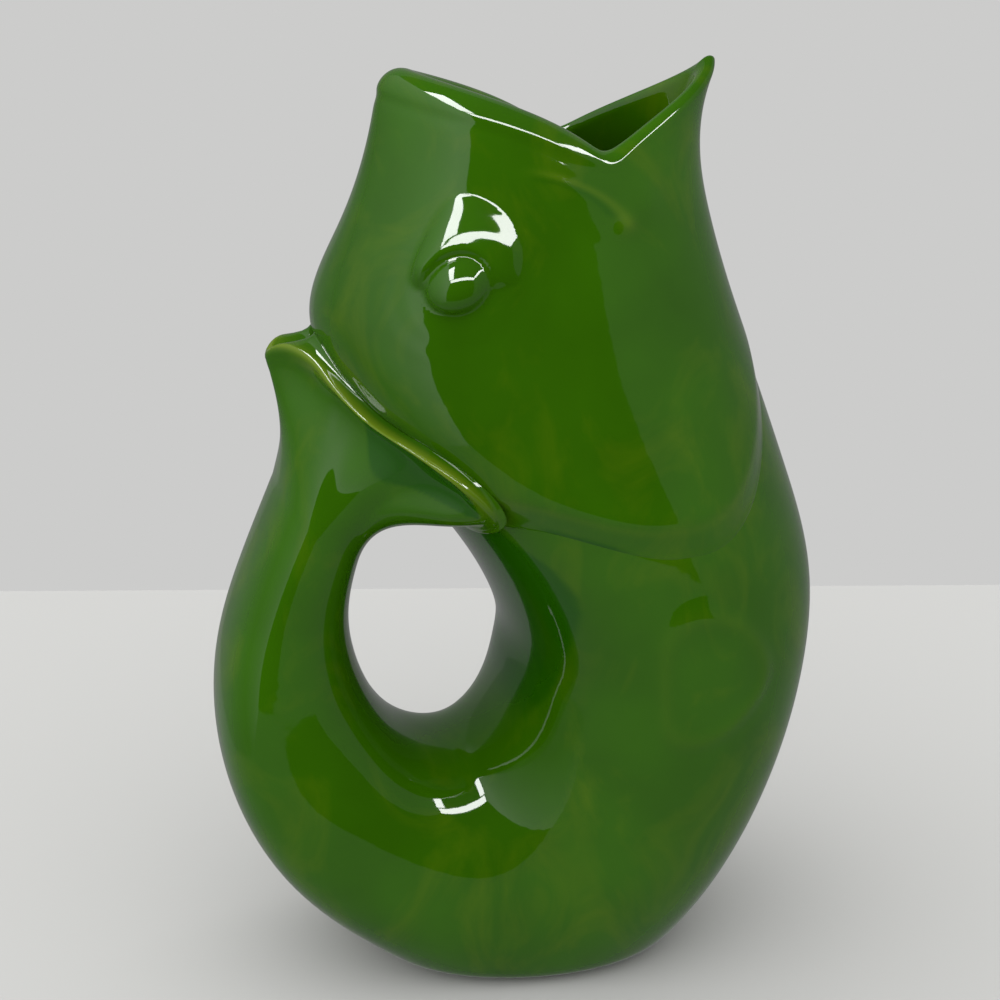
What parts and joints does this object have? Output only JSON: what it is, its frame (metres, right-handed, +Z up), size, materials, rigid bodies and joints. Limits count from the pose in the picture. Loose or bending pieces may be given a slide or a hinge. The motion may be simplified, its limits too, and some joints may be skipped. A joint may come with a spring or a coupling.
{
  "type": "fish gurgle jug",
  "caption": "Glazed stoneware pouring jug shaped as a fish: open mouth with a spout, and a hollow tail curled round as the handle, which gurgles when poured.",
  "frame": {"origin": "centre of the jug's footprint box, on the table", "axes": "+Z up, +X towards the throat and the spout, -X towards the tail handle, +Y to the fish's left side; the jug is alike on both sides of Y = 0"},
  "size_m": [0.1877, 0.1272, 0.279],
  "materials": {
    "green_glaze": "deep leaf-green gloss glaze, paler and yellower where it thins over edges",
    "bare_clay": "unglazed fired clay with the glaze wiped off"
  },
  "bodies": {
    "root": {"lip": "green_glaze", "head": "green_glaze", "belly": "green_glaze", "underbelly": "green_glaze", "tail_handle": "green_glaze", "tail_fin": "green_glaze", "foot_ring": "bare_clay", "left_eye": "green_glaze", "right_eye": "green_glaze", "left_jaw_fold": "green_glaze", "right_jaw_fold": "green_glaze", "left_side_fin": "green_glaze", "right_side_fin": "green_glaze"}
  },
  "joints": []
}
